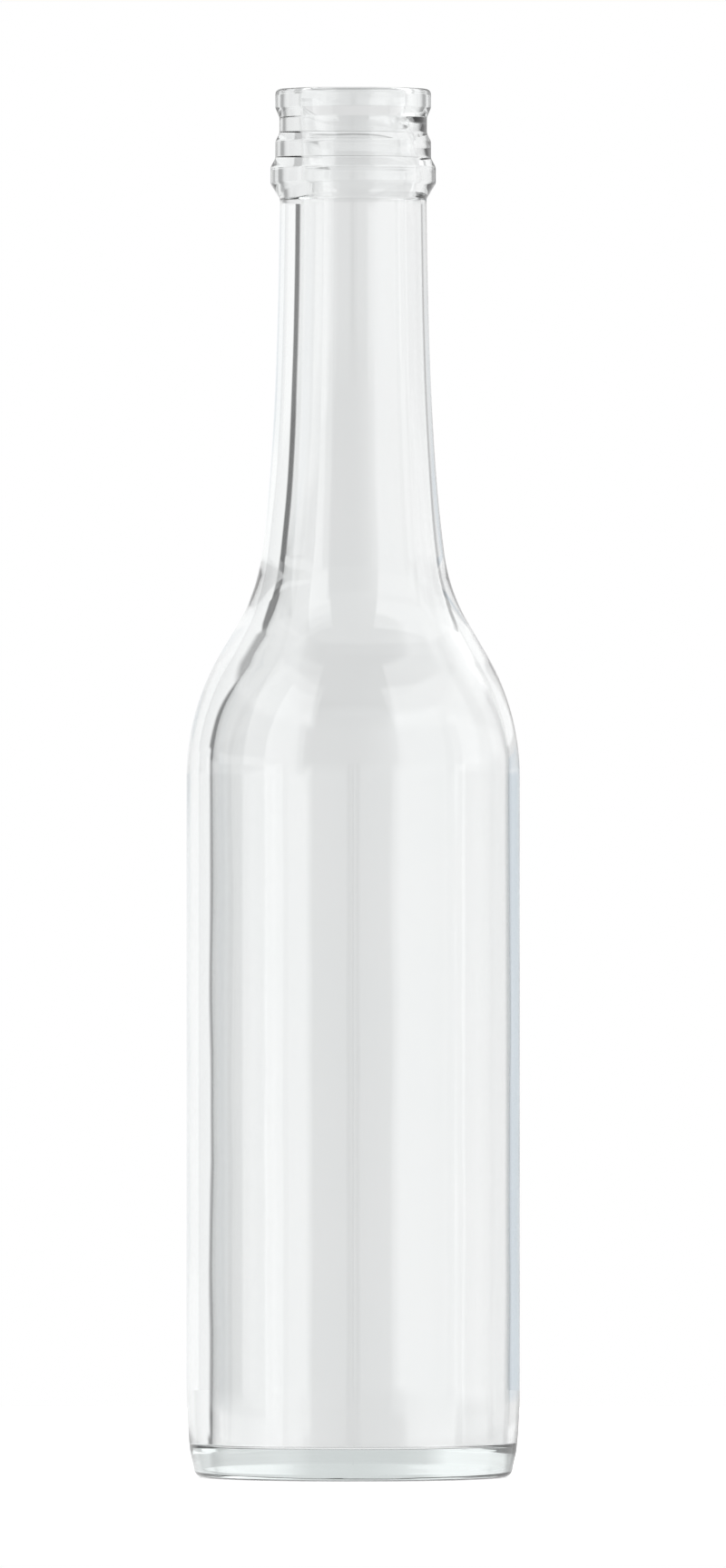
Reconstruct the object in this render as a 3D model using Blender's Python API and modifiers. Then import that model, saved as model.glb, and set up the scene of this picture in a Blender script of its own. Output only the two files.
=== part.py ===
"""Long-neck beer bottle of clear glass: one closed body, empty, open at the mouth.

Metres, +Z up. The origin is the centre of the foot, on the surface that the bottle stands on.
The outside is turned about the Z axis, from the crown finish down to the pushed-up base. The
blown hollow is turned too, and lies a little towards +X, as uneven glass does: the wall is
thin on that side and thick on the other. The hollow is cut from the outside with a Boolean.

A profile is a list of (radius, height) points from the top of the shape down to its foot.
"""
import math

import bmesh
import bpy

MM = 0.001

# Overall size
HEIGHT = 240.0 * MM
BODY_RADIUS = 28.9 * MM

# Foot and heel
FOOT_RADIUS = 26.0 * MM          # outer edge of the flat ring that the bottle stands on
FOOT_INNER_RADIUS = 20.5 * MM
HEEL_ROUND = 1.6 * MM            # corner between the foot and the heel
HEEL_HEIGHT = 20.0 * MM          # over this height the heel eases out to the body
PUSH_UP = 2.2 * MM               # how far the middle of the base is raised

# Shoulder, from the straight body up to the root of the neck
SHOULDER_Z = 121.0 * MM
SHOULDER_ROUND = 42.0 * MM
NECK_ROOT_Z = 159.5 * MM
NECK_ROOT_ROUND = 32.0 * MM

# Neck: its radius falls from the root towards a final value as e to the -height/length
NECK_END_RADIUS = 12.4 * MM
NECK_FLARE = 3.4 * MM
NECK_FLARE_LENGTH = 25.0 * MM

# Crown finish: lip, groove below it, collar, and the wider bead below the collar
LIP_RADIUS = 13.45 * MM
LIP_BOTTOM_Z = 236.7 * MM
LIP_ROUND = 0.9 * MM
LIP_UNDER_ROUND = 0.72 * MM      # under the lip, and where it runs into the groove
GROOVE_RADIUS = 12.75 * MM
GROOVE_TOP_Z = 235.0 * MM
GROOVE_BOTTOM_Z = 232.3 * MM
GROOVE_FOOT_ROUND = 1.4 * MM
COLLAR_RADIUS = 13.45 * MM
COLLAR_TOP_Z = 230.9 * MM
COLLAR_BOTTOM_Z = 228.0 * MM
COLLAR_TOP_ROUND = 1.3 * MM
COLLAR_FOOT_ROUND = 1.2 * MM
BEAD_RADIUS = 14.35 * MM
BEAD_TOP_Z = 226.4 * MM
BEAD_BOTTOM_Z = 223.6 * MM
BEAD_TOP_ROUND = 1.4 * MM
BEAD_UNDER_ROUND = 1.26 * MM
FINISH_BOTTOM_Z = 220.9 * MM     # where the bead has run out into the neck
RUN_OUT_ROUND = 0.9 * MM
RUN_OUT_LENGTH = 1.8 * MM        # the neck's own curve starts this far below the finish

# Hollow
HOLLOW_RADIUS = 25.75 * MM
HOLLOW_OFFSET = 1.0 * MM         # the hollow lies this far towards +X
FLOOR_Z = 5.6 * MM               # at the edge of the floor
FLOOR_DOME = 1.0 * MM            # the floor is this much higher in the middle
FLOOR_ROUND = 0.6 * MM
HOLLOW_SHOULDER_Z = 122.0 * MM
HOLLOW_SHOULDER_ROUND = 32.0 * MM
HOLLOW_ROOT_Z = 155.0 * MM
HOLLOW_ROOT_ROUND = 26.0 * MM
HOLLOW_NECK_END_RADIUS = 10.2 * MM
HOLLOW_FLARE = 3.4 * MM
HOLLOW_FLARE_LENGTH = 27.0 * MM

# Mouth: the bore is round the bottle's own axis, and the hollow eases into it below
BORE_RADIUS = 9.5 * MM
BORE_EASE_LOW_Z = 225.0 * MM
BORE_EASE_HIGH_Z = 237.5 * MM
MOUTH_CHAMFER = 0.7 * MM
CUT_MARGIN = 4.0 * MM            # how far the cutter stands out of the mouth

# Fineness of the faces
TURN_STEPS = 48
CORNER_STEPS = 3
ARC_STEPS = 6
NECK_STEPS = 8
EASE_STEPS = 5
BASE_STEPS = 6
MERGE_DISTANCE = 0.01 * MM

GLASS_COLOR = (0.94, 0.97, 0.96, 1.0)
GLASS_ROUGHNESS = 0.02
GLASS_IOR = 1.52


def steps_between(first, last, count):
    """Evenly spaced values from first to last, both included."""
    return [first + (last - first) * i / count for i in range(count + 1)]


def smooth_step(value, low, high):
    """0 below low, 1 above high, and an even S curve between."""
    t = min(max((value - low) / (high - low), 0.0), 1.0)
    return t * t * (3.0 - 2.0 * t)


def cosine_dome(radius, edge_radius, rise):
    """Height of a dome that is level both at its middle and at its edge."""
    return rise * (1.0 + math.cos(math.pi * radius / edge_radius)) / 2.0


def arc(centre, radius, first_angle, last_angle, count):
    """Points on a circle; angles are in radians from the +radius direction towards +Z."""
    angles = steps_between(first_angle, last_angle, count)
    return [(centre[0] + radius * math.cos(a), centre[1] + radius * math.sin(a)) for a in angles]


def rounded(corners, count):
    """A line through the corners (radius, height, rounding), each corner made an arc.

    The first and the last corner are only used as directions and are left out.
    """
    points = []
    for before, corner, after in zip(corners, corners[1:], corners[2:]):
        legs = []
        for other in (before, after):
            dr = other[0] - corner[0]
            dz = other[1] - corner[1]
            length = math.hypot(dr, dz)
            legs.append((dr / length, dz / length))
        cosine = legs[0][0] * legs[1][0] + legs[0][1] * legs[1][1]
        half_angle = math.acos(cosine) / 2.0
        rounding = corner[2]
        middle = (legs[0][0] + legs[1][0], legs[0][1] + legs[1][1])
        reach = rounding / math.sin(half_angle) / math.hypot(*middle)
        centre = (corner[0] + middle[0] * reach, corner[1] + middle[1] * reach)
        tangent = rounding / math.tan(half_angle)
        ends = []
        for leg in legs:
            foot = (corner[0] + leg[0] * tangent, corner[1] + leg[1] * tangent)
            ends.append(math.atan2(foot[1] - centre[1], foot[0] - centre[0]))
        turn = (ends[1] - ends[0] + math.pi) % (2.0 * math.pi) - math.pi
        points += arc(centre, rounding, ends[0], ends[0] + turn, count)
    return points


def neck_radius(z):
    """Outer radius of the neck at a height."""
    return NECK_END_RADIUS + NECK_FLARE * math.exp((NECK_ROOT_Z - z) / NECK_FLARE_LENGTH)


def hollow_neck_radius(z):
    """Radius of the hollow in the neck, easing to the bore at the mouth."""
    blown = HOLLOW_NECK_END_RADIUS + HOLLOW_FLARE * math.exp((HOLLOW_ROOT_Z - z) / HOLLOW_FLARE_LENGTH)
    share = smooth_step(z, BORE_EASE_LOW_Z, BORE_EASE_HIGH_Z)
    return blown * (1.0 - share) + BORE_RADIUS * share


def shoulder_profile(root, root_slope, root_round, body, body_round):
    """From the neck's root to the body: a hollow arc, a straight flank and a full arc.

    root and body are (radius, height) where the neck ends and where the body begins, and
    root_slope is the neck's angle to the axis at its root. The flank is the line that
    touches both circles, so the whole shoulder is smooth.
    """
    root_centre = (root[0] + root_round * math.cos(root_slope),
                   root[1] + root_round * math.sin(root_slope))
    body_centre = (body[0] - body_round, body[1])
    dr = root_centre[0] - body_centre[0]
    dz = root_centre[1] - body_centre[1]
    flank = math.atan2(dz, dr) - math.acos((root_round + body_round) / math.hypot(dr, dz))
    hollow_arc = arc(root_centre, -root_round, root_slope, flank, ARC_STEPS)
    full_arc = arc(body_centre, body_round, flank, 0.0, ARC_STEPS)
    return hollow_arc + full_arc


def finish_profile():
    """Crown finish, from the top of the lip down to the neck."""
    corners = [
        (0.0, HEIGHT, 0.0),
        (LIP_RADIUS, HEIGHT, LIP_ROUND),
        (LIP_RADIUS, LIP_BOTTOM_Z, LIP_UNDER_ROUND),
        (GROOVE_RADIUS, GROOVE_TOP_Z, LIP_UNDER_ROUND),
        (GROOVE_RADIUS, GROOVE_BOTTOM_Z, GROOVE_FOOT_ROUND),
        (COLLAR_RADIUS, COLLAR_TOP_Z, COLLAR_TOP_ROUND),
        (COLLAR_RADIUS, COLLAR_BOTTOM_Z, COLLAR_FOOT_ROUND),
        (BEAD_RADIUS, BEAD_TOP_Z, BEAD_TOP_ROUND),
        (BEAD_RADIUS, BEAD_BOTTOM_Z, BEAD_UNDER_ROUND),
        (neck_radius(FINISH_BOTTOM_Z), FINISH_BOTTOM_Z, RUN_OUT_ROUND),
        (neck_radius(NECK_ROOT_Z), NECK_ROOT_Z, 0.0),
    ]
    return rounded(corners, CORNER_STEPS)


def heel_profile():
    """Heel, foot ring and pushed-up base, from the body down and in to the axis."""
    inset = BODY_RADIUS - FOOT_RADIUS - HEEL_ROUND
    points = []
    for z in steps_between(HEEL_HEIGHT, HEEL_ROUND, BASE_STEPS):
        points.append((BODY_RADIUS - inset * (1.0 - z / HEEL_HEIGHT) ** 3, z))
    points.pop()
    points += arc((FOOT_RADIUS, HEEL_ROUND), HEEL_ROUND, 0.0, -math.pi / 2.0, CORNER_STEPS)
    for radius in steps_between(FOOT_INNER_RADIUS, 0.0, BASE_STEPS):
        points.append((radius, cosine_dome(radius, FOOT_INNER_RADIUS, PUSH_UP)))
    return points


def outside_profile():
    """The whole outside, from the middle of the mouth to the middle of the base."""
    neck_top_z = FINISH_BOTTOM_Z - RUN_OUT_LENGTH
    neck = [(neck_radius(z), z) for z in steps_between(neck_top_z, NECK_ROOT_Z, NECK_STEPS)]
    root_slope = math.atan(NECK_FLARE / NECK_FLARE_LENGTH)
    shoulder = shoulder_profile(neck.pop(), root_slope, NECK_ROOT_ROUND,
                                (BODY_RADIUS, SHOULDER_Z), SHOULDER_ROUND)
    return [(0.0, HEIGHT)] + finish_profile() + neck + shoulder + heel_profile()


def hollow_profile():
    """The hollow's cutter, from above the mouth down to the middle of the floor."""
    flared = BORE_RADIUS + MOUTH_CHAMFER + CUT_MARGIN
    mouth = [(0.0, HEIGHT + CUT_MARGIN), (flared, HEIGHT + CUT_MARGIN),
             (BORE_RADIUS, HEIGHT - MOUTH_CHAMFER)]
    ease = [(hollow_neck_radius(z), z)
            for z in steps_between(BORE_EASE_HIGH_Z, BORE_EASE_LOW_Z, EASE_STEPS)]
    neck = [(hollow_neck_radius(z), z)
            for z in steps_between(BORE_EASE_LOW_Z, HOLLOW_ROOT_Z, NECK_STEPS)]
    root_slope = math.atan(HOLLOW_FLARE / HOLLOW_FLARE_LENGTH)
    shoulder = shoulder_profile(neck.pop(), root_slope, HOLLOW_ROOT_ROUND,
                                (HOLLOW_RADIUS, HOLLOW_SHOULDER_Z), HOLLOW_SHOULDER_ROUND)
    floor_radius = HOLLOW_RADIUS - FLOOR_ROUND
    corner = arc((floor_radius, FLOOR_Z + FLOOR_ROUND), FLOOR_ROUND, 0.0, -math.pi / 2.0, CORNER_STEPS)
    floor = [(radius, FLOOR_Z + cosine_dome(radius, floor_radius, FLOOR_DOME))
             for radius in steps_between(floor_radius, 0.0, BASE_STEPS)]
    return mouth + ease + neck[1:] + shoulder + corner + floor[1:]


def hollow_shift(z):
    """How far towards +X the middle of the hollow lies at a height."""
    return HOLLOW_OFFSET * (1.0 - smooth_step(z, BORE_EASE_LOW_Z, BORE_EASE_HIGH_Z))


def turned(name, profile, collection):
    """An object whose profile is turned about the Z axis by a Screw modifier."""
    mesh = bpy.data.meshes.new(name)
    line = bmesh.new()
    points = [line.verts.new((radius, 0.0, z)) for radius, z in profile]
    for upper, lower in zip(points, points[1:]):
        line.edges.new((upper, lower))
    line.to_mesh(mesh)
    line.free()
    obj = bpy.data.objects.new(name, mesh)
    collection.objects.link(obj)
    screw = obj.modifiers.new("Turn", "SCREW")
    screw.axis = "Z"
    screw.angle = 2.0 * math.pi
    screw.steps = TURN_STEPS
    screw.render_steps = TURN_STEPS
    screw.use_merge_vertices = True
    screw.merge_threshold = MERGE_DISTANCE
    screw.use_smooth_shade = True
    return obj


def shift_hollow(cutter):
    """Make the turned cutter a plain mesh and move its rings to the hollow's own middle."""
    evaluated = cutter.evaluated_get(bpy.context.evaluated_depsgraph_get())
    cutter.data = bpy.data.meshes.new_from_object(evaluated)
    cutter.modifiers.clear()
    for vertex in cutter.data.vertices:
        vertex.co.x += hollow_shift(vertex.co.z)


def clear_glass():
    """Clear bottle glass."""
    material = bpy.data.materials.new("clear_glass")
    material.use_nodes = True
    shader = material.node_tree.nodes["Principled BSDF"]
    shader.inputs["Base Color"].default_value = GLASS_COLOR
    shader.inputs["Roughness"].default_value = GLASS_ROUGHNESS
    shader.inputs["Metallic"].default_value = 0.0
    shader.inputs["IOR"].default_value = GLASS_IOR
    shader.inputs["Transmission Weight"].default_value = 1.0
    return material


def new_collection(name):
    """A collection in the scene."""
    collection = bpy.data.collections.new(name)
    bpy.context.scene.collection.children.link(collection)
    return collection


def main():
    for obj in list(bpy.data.objects):
        bpy.data.objects.remove(obj)
    parts = new_collection("long_neck_beer_bottle")
    cutters = new_collection("cutters")

    hollow = turned("hollow", hollow_profile(), cutters)
    shift_hollow(hollow)
    hollow.hide_render = True
    hollow.display_type = "WIRE"

    bottle = turned("bottle", outside_profile(), parts)
    bottle.data.materials.append(clear_glass())
    cut = bottle.modifiers.new("Hollow", "BOOLEAN")
    cut.operation = "DIFFERENCE"
    cut.solver = "EXACT"
    cut.object = hollow


main()
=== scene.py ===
"""Long-neck beer bottle of clear glass, empty, standing upright on a pale floor.

Metres, +Z up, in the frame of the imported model. The bottle is modelled as it is made: the
outside is what the mould gives it, with its seams, the inside is what blowing leaves, a little
uneven and off to one side, and the two meet on the lip.
"""
import math

import bmesh
import bpy
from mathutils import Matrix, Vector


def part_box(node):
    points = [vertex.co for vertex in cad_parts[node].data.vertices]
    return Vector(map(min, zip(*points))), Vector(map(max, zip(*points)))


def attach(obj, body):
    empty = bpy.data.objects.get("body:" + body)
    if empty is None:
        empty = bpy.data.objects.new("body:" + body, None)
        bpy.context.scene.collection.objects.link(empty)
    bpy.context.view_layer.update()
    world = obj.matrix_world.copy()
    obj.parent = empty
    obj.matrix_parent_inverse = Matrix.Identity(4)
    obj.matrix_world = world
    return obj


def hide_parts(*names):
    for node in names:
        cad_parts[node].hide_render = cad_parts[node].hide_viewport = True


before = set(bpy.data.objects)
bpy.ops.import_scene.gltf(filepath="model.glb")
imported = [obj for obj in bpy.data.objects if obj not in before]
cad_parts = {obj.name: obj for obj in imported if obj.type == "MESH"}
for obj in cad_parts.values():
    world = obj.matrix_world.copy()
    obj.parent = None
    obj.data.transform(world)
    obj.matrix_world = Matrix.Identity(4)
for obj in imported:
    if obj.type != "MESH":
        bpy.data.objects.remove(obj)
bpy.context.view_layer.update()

MM = 0.001
node_low, node_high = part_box("bottle")

# Mould seams stand proud, so the outside is drawn smaller by their height
SEAM_HEIGHT = 0.06 * MM
SEAM_CREST = 0.09 * MM           # half the width of the ridge's top
SEAM_FOOT = 0.30 * MM            # half the width of the ridge's foot
SEAM_TOP_GAP = 4.2 * MM          # the seam is fire-polished away from here up to the lip

# Overall size
HEIGHT = node_high[2] - node_low[2]
BODY_RADIUS = (node_high[0] - node_low[0]) / 2.0 - SEAM_HEIGHT

# Foot and heel
FOOT_RADIUS = 26.0 * MM
FOOT_INNER_RADIUS = 20.5 * MM
HEEL_ROUND = 1.6 * MM
HEEL_HEIGHT = 20.0 * MM
PUSH_UP = 2.2 * MM
SEAM_END_Z = 4.6 * MM            # the side seams end here, above the foot

# Shoulder
SHOULDER_Z = 121.0 * MM
SHOULDER_ROUND = 42.0 * MM
NECK_ROOT_Z = 159.5 * MM
NECK_ROOT_ROUND = 32.0 * MM

# Neck: its radius falls from the root towards a final value as e to the -height/length
NECK_END_RADIUS = 12.4 * MM
NECK_FLARE = 3.4 * MM
NECK_FLARE_LENGTH = 25.0 * MM

# Crown finish: lip, groove, collar, and the wider bead below the collar
LIP_RADIUS = 13.45 * MM
LIP_BOTTOM_Z = 236.7 * MM
LIP_ROUND = 0.9 * MM
LIP_UNDER_ROUND = 0.72 * MM
GROOVE_RADIUS = 12.75 * MM
GROOVE_TOP_Z = 235.0 * MM
GROOVE_BOTTOM_Z = 232.3 * MM
GROOVE_FOOT_ROUND = 1.4 * MM
COLLAR_RADIUS = 13.45 * MM
COLLAR_TOP_Z = 230.9 * MM
COLLAR_BOTTOM_Z = 228.0 * MM
COLLAR_TOP_ROUND = 1.3 * MM
COLLAR_FOOT_ROUND = 1.2 * MM
BEAD_RADIUS = 14.35 * MM - SEAM_HEIGHT
BEAD_TOP_Z = 226.4 * MM
BEAD_BOTTOM_Z = 223.6 * MM
BEAD_TOP_ROUND = 1.4 * MM
BEAD_UNDER_ROUND = 1.26 * MM
FINISH_BOTTOM_Z = 220.9 * MM
RUN_OUT_ROUND = 0.9 * MM
RUN_OUT_LENGTH = 1.8 * MM

# Hollow
HOLLOW_RADIUS = 25.75 * MM
HOLLOW_OFFSET = 1.0 * MM         # the hollow lies this far towards +X
FLOOR_Z = 5.6 * MM
FLOOR_DOME = 1.0 * MM
FLOOR_ROUND = 0.6 * MM
HOLLOW_SHOULDER_Z = 122.0 * MM
HOLLOW_SHOULDER_ROUND = 32.0 * MM
HOLLOW_ROOT_Z = 155.0 * MM
HOLLOW_ROOT_ROUND = 26.0 * MM
HOLLOW_NECK_END_RADIUS = 10.2 * MM
HOLLOW_FLARE = 3.4 * MM
HOLLOW_FLARE_LENGTH = 27.0 * MM
BORE_RADIUS = 9.5 * MM
BORE_EASE_LOW_Z = 225.0 * MM
BORE_EASE_HIGH_Z = 237.5 * MM
MOUTH_ROUND = 1.1 * MM           # inner edge of the lip
LIP_CROWN = 0.12 * MM            # the lip's top rises this much between its rounded edges
UNEVEN = 0.07 * MM               # how far the blown inside strays from a true turned shape
UNEVEN_SIZE = 17.0 * MM
UNEVEN_EASE = 20.0 * MM          # over this height the waves die out below the bore
OFFSET_SPREAD = (0.25, 0.80)     # |x|/radius where the hollow's offset starts, and where it is whole

# Fineness of the faces
TURN_STEPS = 240
CORNER_STEPS = 6
SHOULDER_STEPS = 20
NECK_STEPS = 20
BODY_STEPS = 24
HEEL_STEPS = 10
FLOOR_STEPS = 12
EASE_STEPS = 10
SMOOTH_ANGLE = math.radians(35.0)
TINY = 0.001 * MM


# ---------------------------------------------------------------- the bottle's profile

def steps_between(first, last, count):
    """Evenly spaced values from first to last, both included."""
    return [first + (last - first) * i / count for i in range(count + 1)]


def smooth_step(value, low, high):
    """0 below low, 1 above high, and an even S curve between."""
    t = min(max((value - low) / (high - low), 0.0), 1.0)
    return t * t * (3.0 - 2.0 * t)


def cosine_dome(radius, edge_radius, rise):
    """Height of a dome that is level both at its middle and at its edge."""
    return rise * (1.0 + math.cos(math.pi * radius / edge_radius)) / 2.0


def arc(centre, radius, first_angle, last_angle, count):
    """Points on a circle; angles are in radians from the +radius direction towards +Z."""
    angles = steps_between(first_angle, last_angle, count)
    return [(centre[0] + radius * math.cos(a), centre[1] + radius * math.sin(a)) for a in angles]


def rounded(corners, count):
    """A line through the corners (radius, height, rounding), each corner made an arc.

    The first and the last corner are only used as directions and are left out.
    """
    points = []
    for before, corner, after in zip(corners, corners[1:], corners[2:]):
        legs = []
        for other in (before, after):
            dr = other[0] - corner[0]
            dz = other[1] - corner[1]
            length = math.hypot(dr, dz)
            legs.append((dr / length, dz / length))
        cosine = legs[0][0] * legs[1][0] + legs[0][1] * legs[1][1]
        half_angle = math.acos(cosine) / 2.0
        rounding = corner[2]
        middle = (legs[0][0] + legs[1][0], legs[0][1] + legs[1][1])
        reach = rounding / math.sin(half_angle) / math.hypot(*middle)
        centre = (corner[0] + middle[0] * reach, corner[1] + middle[1] * reach)
        tangent = rounding / math.tan(half_angle)
        ends = []
        for leg in legs:
            foot = (corner[0] + leg[0] * tangent, corner[1] + leg[1] * tangent)
            ends.append(math.atan2(foot[1] - centre[1], foot[0] - centre[0]))
        turn = (ends[1] - ends[0] + math.pi) % (2.0 * math.pi) - math.pi
        points += arc(centre, rounding, ends[0], ends[0] + turn, count)
    return points


def neck_radius(z):
    """Outer radius of the neck at a height."""
    return NECK_END_RADIUS + NECK_FLARE * math.exp((NECK_ROOT_Z - z) / NECK_FLARE_LENGTH)


def hollow_neck_radius(z):
    """Radius of the hollow in the neck, easing to the bore at the mouth."""
    flare = HOLLOW_FLARE * math.exp((HOLLOW_ROOT_Z - z) / HOLLOW_FLARE_LENGTH)
    blown = HOLLOW_NECK_END_RADIUS + flare
    share = smooth_step(z, BORE_EASE_LOW_Z, BORE_EASE_HIGH_Z)
    return blown * (1.0 - share) + BORE_RADIUS * share


def hollow_shift(z):
    """How far towards +X the middle of the hollow lies at a height."""
    return HOLLOW_OFFSET * (1.0 - smooth_step(z, BORE_EASE_LOW_Z, BORE_EASE_HIGH_Z))


def shoulder_profile(root, root_slope, root_round, body, body_round):
    """From the neck's root to the body: a hollow arc, a straight flank and a full arc."""
    root_centre = (root[0] + root_round * math.cos(root_slope),
                   root[1] + root_round * math.sin(root_slope))
    body_centre = (body[0] - body_round, body[1])
    dr = root_centre[0] - body_centre[0]
    dz = root_centre[1] - body_centre[1]
    flank = math.atan2(dz, dr) - math.acos((root_round + body_round) / math.hypot(dr, dz))
    hollow_arc = arc(root_centre, -root_round, root_slope, flank, SHOULDER_STEPS)
    full_arc = arc(body_centre, body_round, flank, 0.0, SHOULDER_STEPS)
    return hollow_arc + full_arc


def lip_middle():
    """Where the outside and the inside meet, in the middle of the lip's top."""
    return ((LIP_RADIUS + BORE_RADIUS) / 2.0, HEIGHT)


def finish_profile():
    """Crown finish, from the middle of the lip's top down to the neck."""
    corners = [
        lip_middle() + (0.0,),
        (LIP_RADIUS, HEIGHT - LIP_CROWN, LIP_ROUND),
        (LIP_RADIUS, LIP_BOTTOM_Z, LIP_UNDER_ROUND),
        (GROOVE_RADIUS, GROOVE_TOP_Z, LIP_UNDER_ROUND),
        (GROOVE_RADIUS, GROOVE_BOTTOM_Z, GROOVE_FOOT_ROUND),
        (COLLAR_RADIUS, COLLAR_TOP_Z, COLLAR_TOP_ROUND),
        (COLLAR_RADIUS, COLLAR_BOTTOM_Z, COLLAR_FOOT_ROUND),
        (BEAD_RADIUS, BEAD_TOP_Z, BEAD_TOP_ROUND),
        (BEAD_RADIUS, BEAD_BOTTOM_Z, BEAD_UNDER_ROUND),
        (neck_radius(FINISH_BOTTOM_Z), FINISH_BOTTOM_Z, RUN_OUT_ROUND),
        (neck_radius(NECK_ROOT_Z), NECK_ROOT_Z, 0.0),
    ]
    return rounded(corners, CORNER_STEPS)


def heel_radius(z):
    """Outer radius between the foot and the straight body."""
    inset = BODY_RADIUS - FOOT_RADIUS - HEEL_ROUND
    return BODY_RADIUS - inset * max(1.0 - z / HEEL_HEIGHT, 0.0) ** 3


def base_profile():
    """Straight body, heel, foot ring and pushed-up base, down and in to the axis."""
    points = [(BODY_RADIUS, z) for z in steps_between(SHOULDER_Z, HEEL_HEIGHT, BODY_STEPS)]
    points += [(heel_radius(z), z) for z in steps_between(HEEL_HEIGHT, SEAM_END_Z, HEEL_STEPS)[1:]]
    points += arc((FOOT_RADIUS, HEEL_ROUND), HEEL_ROUND, 0.0, -math.pi / 2.0, CORNER_STEPS)
    for radius in steps_between(FOOT_INNER_RADIUS, 0.0, FLOOR_STEPS):
        points.append((radius, cosine_dome(radius, FOOT_INNER_RADIUS, PUSH_UP)))
    return points


def outside_profile():
    """The outside, from the middle of the lip's top to the middle of the base."""
    neck_top_z = FINISH_BOTTOM_Z - RUN_OUT_LENGTH
    neck = [(neck_radius(z), z) for z in steps_between(neck_top_z, NECK_ROOT_Z, NECK_STEPS)]
    root_slope = math.atan(NECK_FLARE / NECK_FLARE_LENGTH)
    shoulder = shoulder_profile(neck.pop(), root_slope, NECK_ROOT_ROUND,
                                (BODY_RADIUS, SHOULDER_Z), SHOULDER_ROUND)
    return [lip_middle()] + finish_profile() + neck + shoulder + base_profile()[1:]


def inside_profile():
    """The inside, from the middle of the lip's top down the neck to the middle of the floor."""
    mouth = rounded([lip_middle() + (0.0,),
                     (BORE_RADIUS, HEIGHT - LIP_CROWN, MOUTH_ROUND),
                     (BORE_RADIUS, BORE_EASE_HIGH_Z, 0.0)], CORNER_STEPS)
    ease = [(hollow_neck_radius(z), z)
            for z in steps_between(BORE_EASE_HIGH_Z, BORE_EASE_LOW_Z, EASE_STEPS)]
    neck = [(hollow_neck_radius(z), z)
            for z in steps_between(BORE_EASE_LOW_Z, HOLLOW_ROOT_Z, NECK_STEPS)]
    root_slope = math.atan(HOLLOW_FLARE / HOLLOW_FLARE_LENGTH)
    shoulder = shoulder_profile(neck.pop(), root_slope, HOLLOW_ROOT_ROUND,
                                (HOLLOW_RADIUS, HOLLOW_SHOULDER_Z), HOLLOW_SHOULDER_ROUND)
    corner_z = FLOOR_Z + FLOOR_ROUND
    body = [(HOLLOW_RADIUS, z) for z in steps_between(HOLLOW_SHOULDER_Z, corner_z, BODY_STEPS)]
    floor_radius = HOLLOW_RADIUS - FLOOR_ROUND
    corner = arc((floor_radius, corner_z), FLOOR_ROUND, 0.0, -math.pi / 2.0, CORNER_STEPS)
    floor = [(radius, FLOOR_Z + cosine_dome(radius, floor_radius, FLOOR_DOME))
             for radius in steps_between(floor_radius, 0.0, FLOOR_STEPS)]
    return ([lip_middle()] + mouth + ease + neck[1:] + shoulder
            + body[1:-1] + corner + floor[1:])


# ---------------------------------------------------------------- modelling

def edit(obj):
    """Select one object alone and enter edit mode on it."""
    bpy.ops.object.select_all(action="DESELECT")
    bpy.context.view_layer.objects.active = obj
    obj.select_set(True)
    bpy.ops.object.mode_set(mode="EDIT")
    bpy.ops.mesh.select_mode(type="VERT")


def leave_edit():
    """Back to object mode."""
    bpy.ops.object.mode_set(mode="OBJECT")


def select_faces(obj, wanted):
    """In edit mode, select just the faces whose middle is wanted."""
    bpy.ops.mesh.select_mode(type="FACE")
    bpy.ops.mesh.select_all(action="DESELECT")
    mesh = bmesh.from_edit_mesh(obj.data)
    for face in mesh.faces:
        face.select_set(wanted(face.calc_center_median()))
    bmesh.update_edit_mesh(obj.data)


def select_points(obj, wanted):
    """In edit mode, select just the points whose place is wanted."""
    bpy.ops.mesh.select_mode(type="VERT")
    bpy.ops.mesh.select_all(action="DESELECT")
    mesh = bmesh.from_edit_mesh(obj.data)
    for point in mesh.verts:
        point.select_set(wanted(point.co))
    mesh.select_flush_mode()
    bmesh.update_edit_mesh(obj.data)


def turned(name, profile):
    """Draw the profile point by point on the +X side and spin it about the Z axis."""
    bpy.ops.object.select_all(action="DESELECT")
    start_radius, start_z = profile[0]
    bpy.ops.mesh.primitive_plane_add(size=MM, location=(start_radius, 0.0, start_z))
    obj = bpy.context.object
    obj.name = name
    obj.data.name = name
    bpy.ops.object.transform_apply(location=True, rotation=False, scale=False)
    edit(obj)
    bpy.ops.mesh.select_all(action="SELECT")
    bpy.ops.mesh.merge(type="CENTER")
    for here, there in zip(profile, profile[1:]):
        step = (there[0] - here[0], 0.0, there[1] - here[1])
        bpy.ops.mesh.extrude_vertices_move(TRANSFORM_OT_translate={"value": step})
    bpy.ops.mesh.select_all(action="SELECT")
    bpy.ops.mesh.spin(steps=TURN_STEPS, angle=2.0 * math.pi,
                      center=(0.0, 0.0, 0.0), axis=(0.0, 0.0, 1.0))
    bpy.ops.mesh.select_all(action="SELECT")
    bpy.ops.mesh.remove_doubles(threshold=TINY)
    leave_edit()
    return obj


def raise_mould_seams(obj):
    """A fine ridge down the front and down the back, where the mould's halves met."""
    seam_top = HEIGHT - SEAM_TOP_GAP
    for x in (-SEAM_FOOT, -SEAM_CREST, SEAM_CREST, SEAM_FOOT):
        select_faces(obj, lambda middle: SEAM_END_Z < middle.z < seam_top)
        bpy.ops.mesh.bisect(plane_co=(x, 0.0, 0.0), plane_no=(1.0, 0.0, 0.0))
    crest = SEAM_CREST + TINY
    select_points(obj, lambda p: abs(p.x) < crest and SEAM_END_Z + SEAM_FOOT < p.z < seam_top)
    bpy.ops.transform.shrink_fatten(value=SEAM_HEIGHT)


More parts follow.
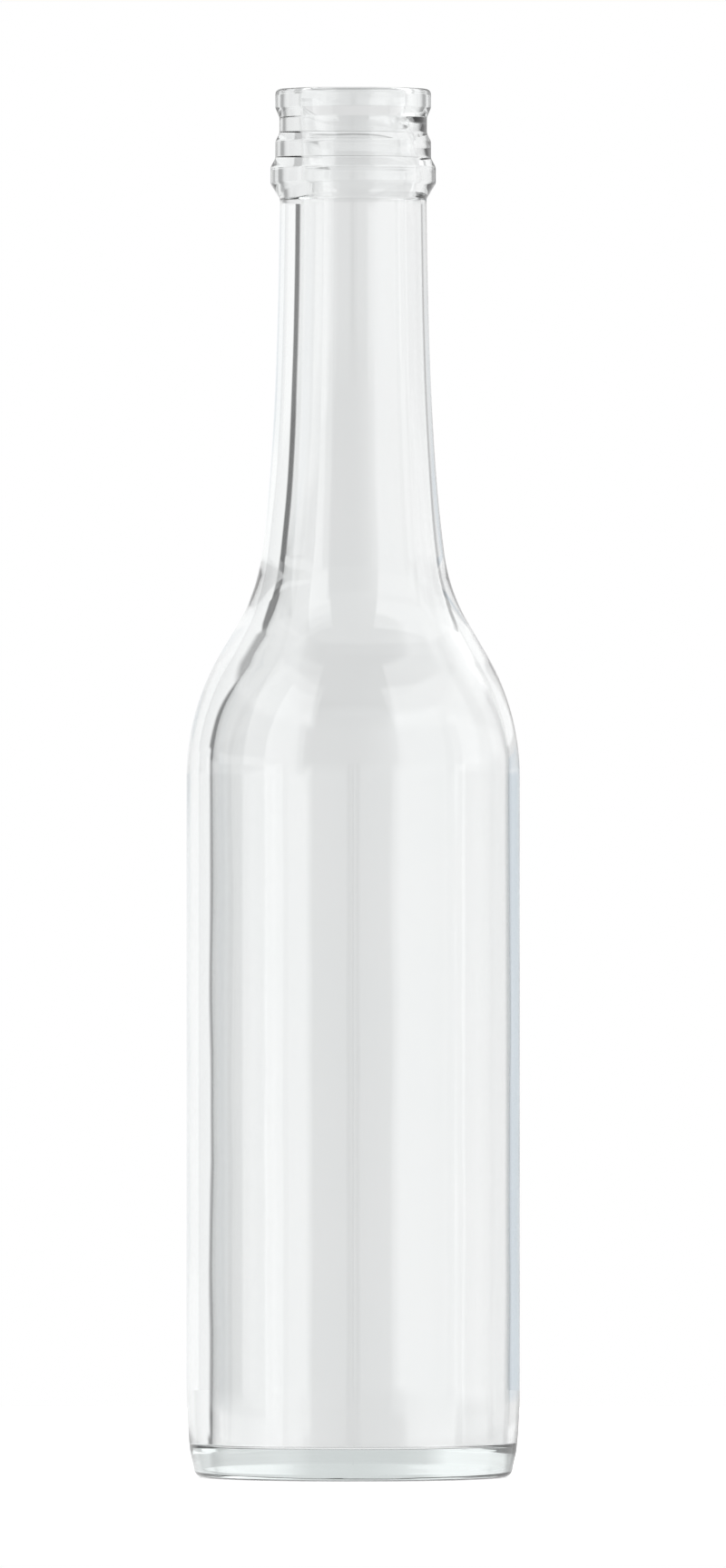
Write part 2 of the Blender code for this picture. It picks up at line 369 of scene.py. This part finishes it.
def moulded_outside():
    """The outside of the bottle, with its seams."""
    obj = turned("outside", outside_profile())
    edit(obj)
    bpy.ops.mesh.select_all(action="SELECT")
    bpy.ops.mesh.normals_make_consistent(inside=False)
    raise_mould_seams(obj)
    leave_edit()
    return obj


def displaced(obj, group, strength, **settings):
    """Apply one Displace modifier to the points of a vertex group."""
    push = obj.modifiers.new("Push", "DISPLACE")
    push.vertex_group = group
    push.strength = strength
    for name, value in settings.items():
        setattr(push, name, value)
    bpy.ops.object.modifier_apply(modifier="Push")


def blown_inside():
    """The inside, thicker walled to the left and a little uneven, as the blown glass cooled."""
    obj = turned("inside", inside_profile())
    sideways = obj.vertex_groups.new(name="sideways")
    blown = obj.vertex_groups.new(name="blown")
    for point in obj.data.vertices:
        radius = max(math.hypot(point.co.x, point.co.y), TINY)
        to_side = smooth_step(abs(point.co.x) / radius, *OFFSET_SPREAD)
        sideways.add([point.index], to_side * hollow_shift(point.co.z) / HOLLOW_OFFSET, "REPLACE")
        weight = 1.0 - smooth_step(point.co.z, BORE_EASE_LOW_Z - UNEVEN_EASE, BORE_EASE_LOW_Z)
        blown.add([point.index], weight, "REPLACE")
    displaced(obj, "sideways", HOLLOW_OFFSET, direction="X", mid_level=0.0)

    waves = bpy.data.textures.new("blown_waves", "CLOUDS")
    waves.noise_scale = UNEVEN_SIZE
    waves.noise_depth = 1
    displaced(obj, "blown", 2.0 * UNEVEN, texture=waves, texture_coords="LOCAL", mid_level=0.5)
    bpy.data.textures.remove(waves)
    obj.vertex_groups.clear()
    return obj


def glass_bottle():
    """Outside and inside joined on the lip into one closed wall."""
    inside = blown_inside()
    outside = moulded_outside()
    bpy.ops.object.select_all(action="DESELECT")
    inside.select_set(True)
    outside.select_set(True)
    bpy.context.view_layer.objects.active = outside
    bpy.ops.object.join()
    bottle = bpy.context.object
    bottle.name = "glass_bottle"
    bottle.data.name = "glass_bottle"
    edit(bottle)
    bpy.ops.mesh.select_all(action="SELECT")
    bpy.ops.mesh.remove_doubles(threshold=TINY)
    bpy.ops.mesh.normals_make_consistent(inside=False)
    leave_edit()
    bpy.ops.object.shade_smooth_by_angle(angle=SMOOTH_ANGLE)
    even = bottle.modifiers.new("Even", "WEIGHTED_NORMAL")
    even.keep_sharp = True
    bpy.ops.object.modifier_apply(modifier="Even")
    bottle.data.materials.clear()
    bottle.data.materials.append(clear_glass())
    return bottle


# ---------------------------------------------------------------- materials

# Colours are red, green, blue and alpha. Noise scales are in waves per metre
GLASS_CLEAREST = (1.0, 1.0, 1.0, 1.0)
GLASS_COOLEST = (0.975, 0.985, 0.985, 1.0)
GLASS_TINT_SCALE = 60.0
GLASS_IOR = 1.52                 # soda-lime container glass
GLASS_DEPTH_COLOUR = (0.70, 0.95, 0.92, 1.0)
GLASS_DEPTH_DENSITY = 4.0

# Handling dulls the glass here and there, from where the noise passes the first value
HANDLING_SCALE = 140.0
HANDLING_NOISE = (0.45, 0.80)
HANDLING_ROUGHNESS = 0.008

# Slow waves that the mould leaves in the surface, four times as long as they are wide
FLOW_SCALE = 90.0
FLOW_STRETCH = (1.0, 1.0, 0.25)
FLOW_DEPTH = 0.02 * MM

FLOOR_DARKEST = (0.93, 0.93, 0.93, 1.0)
FLOOR_PALEST = (0.97, 0.97, 0.97, 1.0)
FLOOR_MOTTLE_SCALE = 30.0
FLOOR_GLOW = 0.55                # keeps the white board as bright as the white round about
FLOOR_ROUGHNESS = 0.9


def new_material(name):
    """A material with nodes, and its parts."""
    material = bpy.data.materials.new(name)
    material.use_nodes = True
    tree = material.node_tree
    return material, tree.nodes, tree.links, tree.nodes["Principled BSDF"]


def noise(nodes, links, place, scale, detail):
    """Noise on the given coordinates, from 0 to 1."""
    texture = nodes.new("ShaderNodeTexNoise")
    texture.inputs["Scale"].default_value = scale
    texture.inputs["Detail"].default_value = detail
    links.new(place, texture.inputs["Vector"])
    return texture.outputs["Fac"]


def mottled(nodes, links, value, first, second):
    """A colour that goes from the first to the second as the value goes from 0 to 1."""
    mix = nodes.new("ShaderNodeMix")
    mix.data_type = "RGBA"
    mix.inputs["A"].default_value = first
    mix.inputs["B"].default_value = second
    links.new(value, mix.inputs["Factor"])
    return mix.outputs["Result"]


def clear_glass():
    """Colourless bottle glass: faintly cool in its depth, with slow waves in its surface."""
    material, nodes, links, shader = new_material("clear_glass")
    place = nodes.new("ShaderNodeTexCoord").outputs["Object"]

    cloudy = noise(nodes, links, place, GLASS_TINT_SCALE, 2.0)
    tint = mottled(nodes, links, cloudy, GLASS_CLEAREST, GLASS_COOLEST)
    links.new(tint, shader.inputs["Base Color"])

    handled = noise(nodes, links, place, HANDLING_SCALE, 3.0)
    polish = nodes.new("ShaderNodeMapRange")
    polish.inputs["From Min"].default_value = HANDLING_NOISE[0]
    polish.inputs["From Max"].default_value = HANDLING_NOISE[1]
    polish.inputs["To Min"].default_value = 0.0
    polish.inputs["To Max"].default_value = HANDLING_ROUGHNESS
    links.new(handled, polish.inputs["Value"])
    links.new(polish.outputs["Result"], shader.inputs["Roughness"])

    stretch = nodes.new("ShaderNodeMapping")
    stretch.inputs["Scale"].default_value = FLOW_STRETCH
    links.new(place, stretch.inputs["Vector"])
    slow = noise(nodes, links, stretch.outputs["Vector"], FLOW_SCALE, 1.0)
    waves = nodes.new("ShaderNodeBump")
    waves.inputs["Strength"].default_value = 1.0
    waves.inputs["Distance"].default_value = FLOW_DEPTH
    links.new(slow, waves.inputs["Height"])
    links.new(waves.outputs["Normal"], shader.inputs["Normal"])

    shader.inputs["IOR"].default_value = GLASS_IOR
    shader.inputs["Transmission Weight"].default_value = 1.0

    depth = nodes.new("ShaderNodeVolumeAbsorption")
    depth.inputs["Color"].default_value = GLASS_DEPTH_COLOUR
    depth.inputs["Density"].default_value = GLASS_DEPTH_DENSITY
    links.new(depth.outputs["Volume"], nodes["Material Output"].inputs["Volume"])
    return material


def pale_floor():
    """Matt white board with a faint mottle; the glass sees the studio's low light instead."""
    material, nodes, links, shader = new_material("pale_floor")
    place = nodes.new("ShaderNodeTexCoord").outputs["Object"]
    mottle = noise(nodes, links, place, FLOOR_MOTTLE_SCALE, 3.0)
    shade = mottled(nodes, links, mottle, FLOOR_DARKEST, FLOOR_PALEST)
    links.new(shade, shader.inputs["Base Color"])
    links.new(shade, shader.inputs["Emission Color"])
    shader.inputs["Emission Strength"].default_value = FLOOR_GLOW
    shader.inputs["Roughness"].default_value = FLOOR_ROUGHNESS

    clear = nodes.new("ShaderNodeBsdfTransparent")
    path = nodes.new("ShaderNodeLightPath")
    seen = shader_mix(nodes, links, path.outputs["Is Camera Ray"], clear, shader)
    links.new(seen.outputs["Shader"], nodes["Material Output"].inputs["Surface"])
    return material


# ---------------------------------------------------------------- studio

FLOOR_RADIUS = 450.0 * MM
FLOOR_SIDES = 96
FLOOR_DROP = 0.05 * MM           # keeps the floor clear of the foot

CAMERA_DISTANCE = 4.0
CAMERA_X = 1.7 * MM
CAMERA_Z = 119.8 * MM
CAMERA_LENS = 531.2              # in millimetres, as the sensor is
CAMERA_SENSOR = 36.0             # along the frame's long side
CAMERA_NEAREST = 0.1
CAMERA_FARTHEST = 20.0

# Brightness of what stands round the bottle and shows in its reflections, in rows one above the
# other. Each row goes round by the angle from directly behind the bottle, in degrees: negative
# angles are to the left, as the camera looks. A stop is an angle, a brightness and, where the
# light there isn't white, its tint
BRIGHTEST = 2.5
WHITE = (1.0, 1.0, 1.0)
COOL = (0.90, 0.97, 1.03)
GROUND = ((-180.0, 0.85), (180.0, 0.85))
LOW_ROW = (
    (-180.0, 0.30), (-150.0, 0.50),
    (-140.0, 1.40), (-75.0, 1.40),                                          # left board
    (-64.0, 0.55), (-46.0, 0.55),                                           # gap
    (-43.0, 0.90), (-20.0, 0.90), (-10.0, 1.00), (36.0, 1.00),              # backdrop
    (38.0, 0.60), (45.0, 0.60),                                             # gap
    (47.0, 1.10), (70.0, 1.20), (130.0, 1.20),                              # right board
    (145.0, 0.40), (180.0, 0.30),
)
LEVEL_ROW = (
    (-180.0, 0.05), (-176.5, 0.05),                                         # the camera
    (-175.0, 0.40), (-149.0, 0.40),                                         # open side
    (-147.0, 1.50), (-125.0, 1.45), (-112.0, 1.25),                         # front left panel
    (-106.0, 1.90), (-98.0, 1.90),                                          # left panel
    (-96.0, 0.12), (-62.0, 0.15), (-46.0, 0.35),                            # dark gap
    (-43.0, 1.00), (6.0, 1.00),                                             # backdrop
    (10.0, 0.75, COOL), (36.0, 0.75, COOL),                                 # its cool end
    (38.0, 0.42, COOL), (45.0, 0.30, COOL),                                 # gap
    (47.0, 1.00), (64.0, 1.10),                                             # open side
    (72.0, 1.70), (84.0, 2.20), (104.0, 2.30),                              # right panel
    (105.5, 1.00), (111.0, 1.00),                                           # joint of the panels
    (112.5, 1.45), (147.0, 1.45),                                           # front right panel
    (149.0, 0.90), (160.0, 0.70), (175.0, 0.55),                            # open side
    (176.5, 0.05), (180.0, 0.05),                                           # the camera
)
NECK_ROW = (
    (-180.0, 0.05), (-176.0, 0.05),                                         # the camera
    (-174.0, 0.40), (-141.0, 0.40),                                         # open side
    (-139.0, 1.40), (-125.0, 1.45), (-98.0, 1.60),                          # left panels
    (-94.0, 0.75), (-59.0, 0.75),                                           # pale gap
    (-55.0, 0.15), (-46.0, 0.15),                                           # dark gap
    (-43.0, 1.00), (6.0, 1.00), (10.0, 0.80), (36.0, 0.80),                 # backdrop
    (38.0, 0.50), (45.0, 0.50),                                             # gap
    (47.0, 1.10), (64.0, 1.10),                                             # open side
    (72.0, 1.70), (84.0, 2.20), (104.0, 2.20),                              # right panel
    (105.5, 0.90), (111.0, 0.90),                                           # joint of the panels
    (112.5, 1.60), (142.0, 1.60),                                           # front right panel
    (152.0, 0.90), (174.0, 0.60),                                           # open side
    (176.0, 0.05), (180.0, 0.05),                                           # the camera
)
UPPER_ROW = (
    (-180.0, 0.30), (-141.0, 0.30),                                         # open side
    (-139.0, 1.40), (-125.0, 1.50), (-110.0, 1.70), (-98.0, 1.90),          # left panels
    (-96.0, 0.12), (-43.0, 0.20),                                           # dark gap
    (-40.0, 1.00), (0.0, 1.00), (8.0, 1.05), (20.0, 1.05),                  # backdrop
    (28.0, 0.98), (38.0, 0.98),
    (40.0, 0.50), (46.0, 0.50),                                             # gap
    (48.0, 1.10), (60.0, 1.40),                                             # open side
    (78.0, 1.80), (104.0, 1.80),                                            # right panel
    (105.5, 1.00), (111.0, 1.00),                                           # joint of the panels
    (112.5, 1.45), (147.0, 1.45),                                           # front right panel
    (149.0, 0.90), (170.0, 0.40), (180.0, 0.30),
)
TOP_ROW = (
    (-180.0, 0.20), (-149.0, 0.20),                                         # open side
    (-147.0, 2.00), (-98.0, 2.10),                                          # left panels
    (-96.0, 0.80), (-70.0, 0.70), (-62.0, 0.35),                            # gap
    (-20.0, 0.45), (-10.0, 0.60), (30.0, 0.95),                             # backdrop
    (40.0, 1.60), (100.0, 2.00), (147.0, 2.00),                             # right panels
    (149.0, 0.50), (180.0, 0.20),
)
CEILING = (
    (-180.0, 0.15), (-149.0, 0.20), (-147.0, 1.20), (-60.0, 0.90),
    (60.0, 1.10), (110.0, 2.00), (147.0, 2.00), (149.0, 0.40), (180.0, 0.15),
)
ZENITH = (
    (-180.0, 0.15), (-140.0, 0.20), (-60.0, 0.40),
    (60.0, 0.90), (110.0, 0.80), (130.0, 0.30), (180.0, 0.15),
)
# Each row's lower edge and half the height over which it blends in, in degrees, and its stops
ROWS = (
    (-36.0, 1.5, LOW_ROW),
    (-2.8, 0.6, LEVEL_ROW),
    (1.0, 0.5, NECK_ROW),
    (4.5, 0.5, UPPER_ROW),
    (25.0, 2.0, TOP_ROW),
    (46.0, 1.5, CEILING),
    (53.0, 1.5, ZENITH),
)

# The plain backdrop that shows straight through the glass: even, with a low fold behind the
# bottle, and paler high up at the sides
THROUGH = ((-180.0, 0.80), (180.0, 0.80))
FOLD_THROUGH = (
    (-180.0, 0.80), (-30.0, 0.80), (-22.0, 0.45), (22.0, 0.45), (30.0, 0.80), (180.0, 0.80),
)
NECK_THROUGH = ((-180.0, 0.86), (-23.0, 0.86), (-16.0, 0.80), (180.0, 0.80))
UPPER_THROUGH = (
    (-180.0, 0.92), (-24.0, 0.92), (-13.0, 0.82), (-6.0, 0.76), (-3.0, 0.74), (12.0, 0.74),
    (22.0, 0.90), (180.0, 0.90),
)
THROUGH_ROWS = (
    (-23.2, 0.5, FOLD_THROUGH),
    (-12.1, 0.4, THROUGH),
    (0.6, 0.3, NECK_THROUGH),
    (3.3, 0.7, UPPER_THROUGH),
)

# Bent cards close behind the bottle, one low and one high. Only reflections inside the glass
# see them. Their stops go round as the rows' do
CARD_FACES = 120
LOW_CARD = {
    "radius": 110.0 * MM,
    "foot": -45.0 * MM,
    "top": 12.0 * MM,
    "stops": (
        (-75.0, 0.50), (-53.0, 0.50), (-47.0, 0.93), (-17.5, 0.98), (-12.0, 0.71), (6.0, 0.71),
        (12.0, 0.76), (18.0, 0.72), (37.0, 0.66), (41.0, 0.88), (75.0, 0.88),
    ),
}
HIGH_CARD = {
    "radius": 60.0 * MM,
    "foot": 222.0 * MM,
    "top": 262.0 * MM,
    "stops": (
        (-80.0, 0.86), (-40.0, 0.86), (-30.0, 0.75), (-20.0, 0.35), (-10.0, 0.35), (-6.0, 0.80),
        (6.0, 0.80), (10.0, 0.35), (20.0, 0.35), (30.0, 0.75), (40.0, 0.90), (80.0, 0.90),
    ),
}


def ramp(nodes, links, value, stops):
    """The stops' light where the value is an angle, as a share of the brightest."""
    low = stops[0][0]
    high = stops[-1][0]
    span = nodes.new("ShaderNodeMapRange")
    span.inputs["From Min"].default_value = low
    span.inputs["From Max"].default_value = high
    links.new(value, span.inputs["Value"])
    colours = nodes.new("ShaderNodeValToRGB")
    elements = colours.color_ramp.elements
    elements.remove(elements[1])
    for number, (at, brightness, *tint) in enumerate(stops):
        share = (at - low) / (high - low)
        element = elements.new(share) if number else elements[0]
        element.position = share
        red, green, blue = tint[0] if tint else WHITE
        grey = brightness / BRIGHTEST
        element.color = (grey * red, grey * green, grey * blue, 1.0)
    links.new(span.outputs["Result"], colours.inputs["Fac"])
    return colours.outputs["Color"]


def in_degrees(nodes, links, operation, *values):
    """An angle that a Math node finds from the values, in degrees."""
    angle = nodes.new("ShaderNodeMath")
    angle.operation = operation
    for number, value in enumerate(values):
        links.new(value, angle.inputs[number])
    degrees = nodes.new("ShaderNodeMath")
    degrees.operation = "DEGREES"
    links.new(angle.outputs["Value"], degrees.inputs[0])
    return degrees.outputs["Value"]


def angle_round(nodes, links, place):
    """The angle round the Z axis from directly behind the bottle, positive to the right."""
    return in_degrees(nodes, links, "ARCTAN2", place.outputs["X"], place.outputs["Y"])


def colour_mix(nodes, links, share, first, second):
    """The first colour where share is 0, the second where it is 1."""
    mix = nodes.new("ShaderNodeMix")
    mix.data_type = "RGBA"
    links.new(share, mix.inputs["Factor"])
    links.new(first, mix.inputs["A"])
    links.new(second, mix.inputs["B"])
    return mix.outputs["Result"]


def white_light(nodes, strength):
    """Even white light all round."""
    light = nodes.new("ShaderNodeBackground")
    light.inputs["Color"].default_value = WHITE + (1.0,)
    light.inputs["Strength"].default_value = strength
    return light


def shader_mix(nodes, links, share, first, second):
    """The first shader where share is 0, the second where it is 1 or more."""
    mix = nodes.new("ShaderNodeMixShader")
    links.new(share, mix.inputs["Fac"])
    links.new(first.outputs[0], mix.inputs[1])
    links.new(second.outputs[0], mix.inputs[2])
    return mix


def stacked(nodes, links, turn, rise, lowest, rows):
    """Light from rows one above the other, over the lowest one."""
    colour = ramp(nodes, links, turn, lowest)
    for edge, half_blend, stops in rows:
        share = nodes.new("ShaderNodeMapRange")
        share.inputs["From Min"].default_value = edge - half_blend
        share.inputs["From Max"].default_value = edge + half_blend
        links.new(rise, share.inputs["Value"])
        above = ramp(nodes, links, turn, stops)
        colour = colour_mix(nodes, links, share.outputs["Result"], colour, above)
    light = white_light(nodes, BRIGHTEST)
    links.new(colour, light.inputs["Color"])
    return light


def studio_light():
    """White surroundings to the eye; soft panels of differing brightness to the glass."""
    world = bpy.data.worlds.new("studio")
    bpy.context.scene.world = world
    world.use_nodes = True
    nodes = world.node_tree.nodes
    links = world.node_tree.links
    nodes.clear()

    direction = nodes.new("ShaderNodeSeparateXYZ")
    links.new(nodes.new("ShaderNodeTexCoord").outputs["Generated"], direction.inputs["Vector"])
    turn = angle_round(nodes, links, direction)
    rise = in_degrees(nodes, links, "ARCSINE", direction.outputs["Z"])
    reflected = stacked(nodes, links, turn, rise, GROUND, ROWS)
    straight = stacked(nodes, links, turn, rise, THROUGH, THROUGH_ROWS)
    path = nodes.new("ShaderNodeLightPath")
    glass_sees = shader_mix(nodes, links, path.outputs["Glossy Depth"], straight, reflected)
    white = white_light(nodes, 1.0)
    seen = shader_mix(nodes, links, path.outputs["Is Camera Ray"], glass_sees, white)
    output = nodes.new("ShaderNodeOutputWorld")
    links.new(seen.outputs["Shader"], output.inputs["Surface"])


def card_light(name, stops):
    """Soft light that follows the angle behind the bottle, clear to everything but reflections."""
    material, nodes, links, shader = new_material(name)
    nodes.remove(shader)
    place = nodes.new("ShaderNodeSeparateXYZ")
    links.new(nodes.new("ShaderNodeTexCoord").outputs["Object"], place.inputs["Vector"])
    turn = angle_round(nodes, links, place)
    glow = nodes.new("ShaderNodeEmission")
    glow.inputs["Strength"].default_value = BRIGHTEST
    links.new(ramp(nodes, links, turn, stops), glow.inputs["Color"])
    path = nodes.new("ShaderNodeLightPath")
    clear = nodes.new("ShaderNodeBsdfTransparent")
    seen = shader_mix(nodes, links, path.outputs["Glossy Depth"], clear, glow)
    links.new(seen.outputs["Shader"], nodes["Material Output"].inputs["Surface"])
    return material


def bent_card(name, radius, foot, top, stops):
    """A strip bent round behind the bottle, cut from an open cylinder."""
    bpy.ops.object.select_all(action="DESELECT")
    bpy.ops.mesh.primitive_cylinder_add(vertices=CARD_FACES, radius=radius, depth=top - foot,
                                        end_fill_type="NOTHING", location=(0.0, 0.0, (top + foot) / 2.0))
    card = bpy.context.object
    card.name = name
    bpy.ops.object.transform_apply(location=True, rotation=False, scale=False)
    first = math.radians(stops[0][0])
    last = math.radians(stops[-1][0])
    edit(card)
    select_faces(card, lambda middle: not first < math.atan2(middle.x, middle.y) < last)
    bpy.ops.mesh.delete(type="FACE")
    leave_edit()
    card.data.materials.append(card_light(name, stops))


def floor():
    """A round white board under the bottle."""
    bpy.ops.object.select_all(action="DESELECT")
    bpy.ops.mesh.primitive_circle_add(vertices=FLOOR_SIDES, radius=FLOOR_RADIUS, fill_type="NGON",
                                      location=(0.0, 0.0, -FLOOR_DROP))
    board = bpy.context.object
    board.name = "floor"
    bpy.ops.object.transform_apply(location=True, rotation=False, scale=False)
    board.data.materials.append(pale_floor())


def camera():
    """Level with the middle of the bottle, from far enough that the bottle hardly tapers."""
    bpy.ops.object.camera_add(location=(CAMERA_X, -CAMERA_DISTANCE, CAMERA_Z),
                              rotation=(math.radians(90.0), 0.0, 0.0))
    view = bpy.context.object
    view.data.lens = CAMERA_LENS
    view.data.sensor_width = CAMERA_SENSOR
    view.data.clip_start = CAMERA_NEAREST
    view.data.clip_end = CAMERA_FARTHEST
    bpy.context.scene.camera = view


# ---------------------------------------------------------------- the scene

camera()
floor()
studio_light()
bent_card("low_card", **LOW_CARD)
bent_card("high_card", **HIGH_CARD)
bpy.context.scene.view_settings.view_transform = "Standard"

bottle = glass_bottle()
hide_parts("bottle")
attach(bottle, "root")
